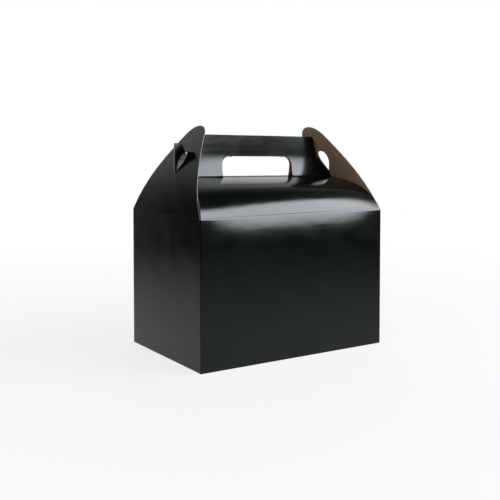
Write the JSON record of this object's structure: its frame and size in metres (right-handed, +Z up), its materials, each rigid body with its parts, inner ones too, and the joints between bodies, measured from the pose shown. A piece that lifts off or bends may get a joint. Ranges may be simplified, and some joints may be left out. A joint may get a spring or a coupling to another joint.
{
  "type": "handle box",
  "caption": "Gable carry carton of folded board with a curved roof, a double handle with a hand hole, and slotted end flaps that lean in and swing out",
  "frame": {"origin": "middle of the base, on the surface it stands on", "axes": "+X along the front wall, from the hooked end to the plain end; +Y from the front wall to the back wall; +Z up"},
  "size_m": [0.2286, 0.1524, 0.2408],
  "materials": {
    "black_board": "satin black coated paperboard outside, plain brown kraft inside, light grey-brown cut edges"
  },
  "bodies": {
    "carton": {"carton": "black_board"},
    "left_flap": {"left_end_flap": "black_board"},
    "right_flap": {"right_end_flap": "black_board"}
  },
  "joints": [
    {"name": "left_flap_crease", "type": "hinge", "parent": "carton", "child": "left_flap", "pos_m": [-0.1143, 0, 0.1495], "axis": [0, -1, 0], "range_deg": [0, 165]},
    {"name": "right_flap_crease", "type": "hinge", "parent": "carton", "child": "right_flap", "pos_m": [0.1143, 0, 0.1495], "axis": [0, 1, 0], "range_deg": [0, 165]}
  ]
}
